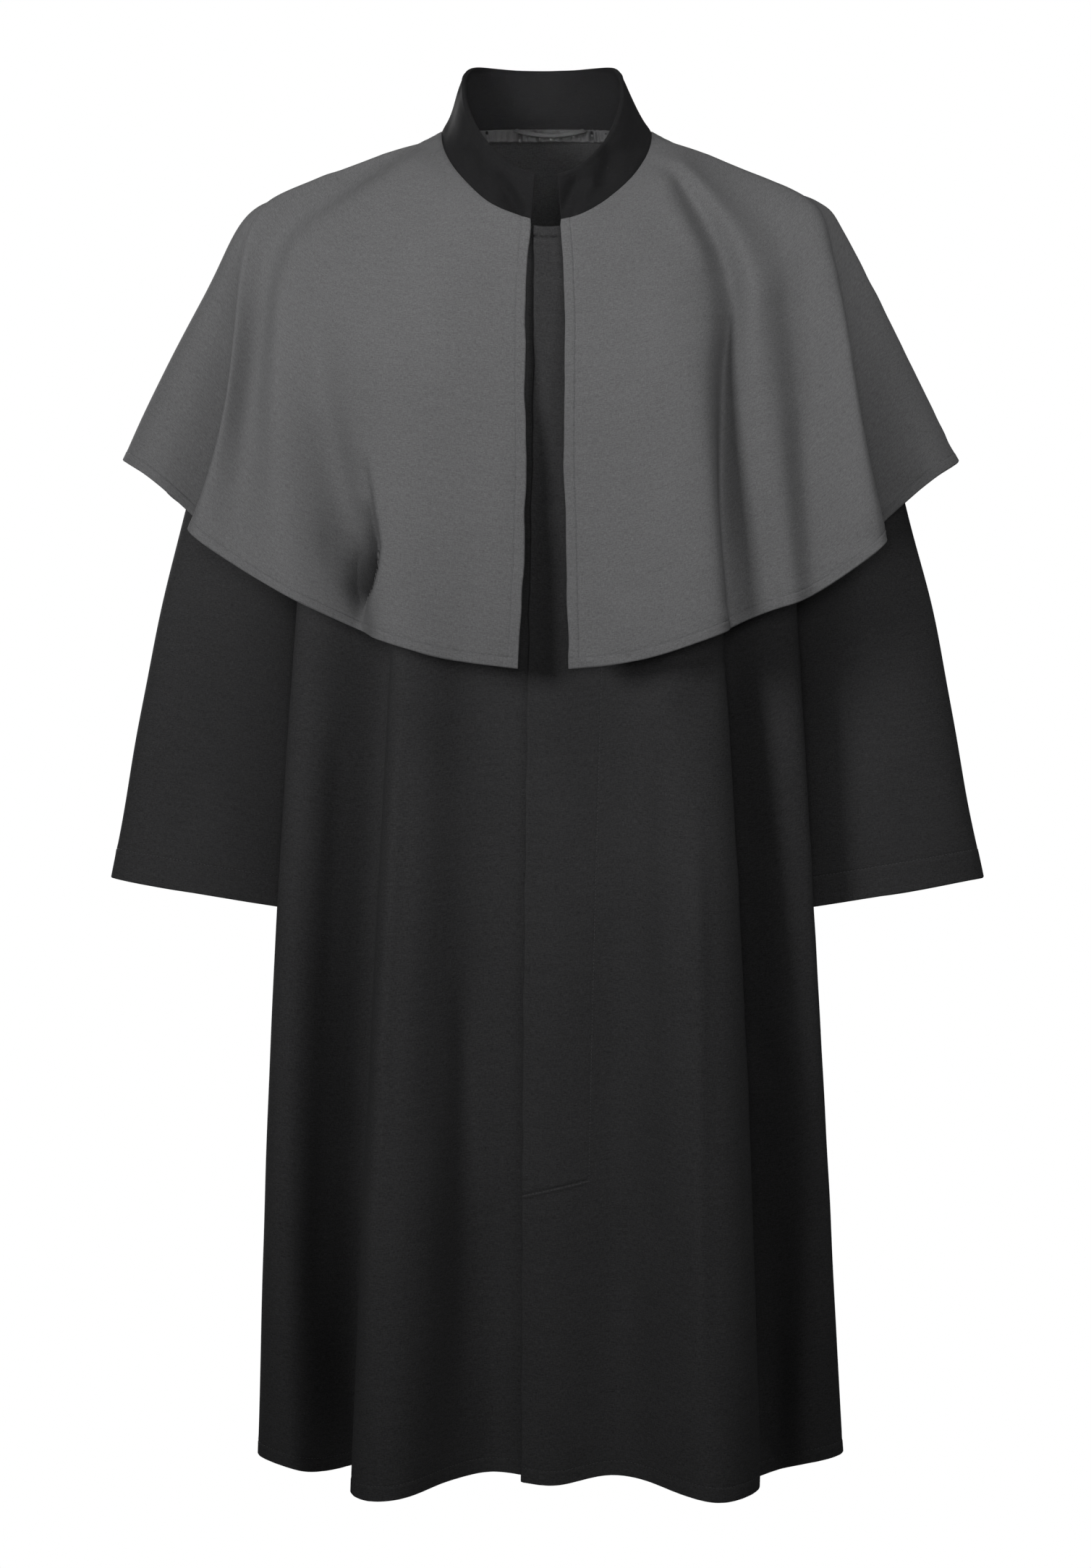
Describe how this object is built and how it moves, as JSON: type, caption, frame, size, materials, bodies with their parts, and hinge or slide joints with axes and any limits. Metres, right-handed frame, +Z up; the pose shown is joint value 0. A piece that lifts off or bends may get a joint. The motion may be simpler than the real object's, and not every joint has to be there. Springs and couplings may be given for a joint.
{
  "type": "stand-collar gown with a shoulder cape",
  "caption": "Dark knee-length stand-collar gown with wide sleeves, a closed fly front and a grey open-fronted shoulder cape.",
  "frame": {"origin": "middle of the neck opening, level with the foot of the collar at the back of the shoulders, where the wearer's neck and shoulders carry the gown", "axes": "+Z up, -Y out of the gown's front, +X towards the wearer's left"},
  "size_m": [0.778, 0.3446, 1.2595],
  "materials": {
    "gown_cloth": "matt, black",
    "cape_cloth": "matt, mid grey",
    "tape_cloth": "slight sheen, dark grey"
  },
  "bodies": {
    "root": {"gown_front_right": "gown_cloth", "gown_front_left": "gown_cloth", "gown_back": "gown_cloth", "sleeve_right": "gown_cloth", "sleeve_left": "gown_cloth", "cape_front_right": "cape_cloth", "cape_front_left": "cape_cloth", "cape_back": "cape_cloth", "stand_collar": "gown_cloth", "neck_tape": "tape_cloth", "hanger_loop": "tape_cloth"}
  },
  "joints": []
}
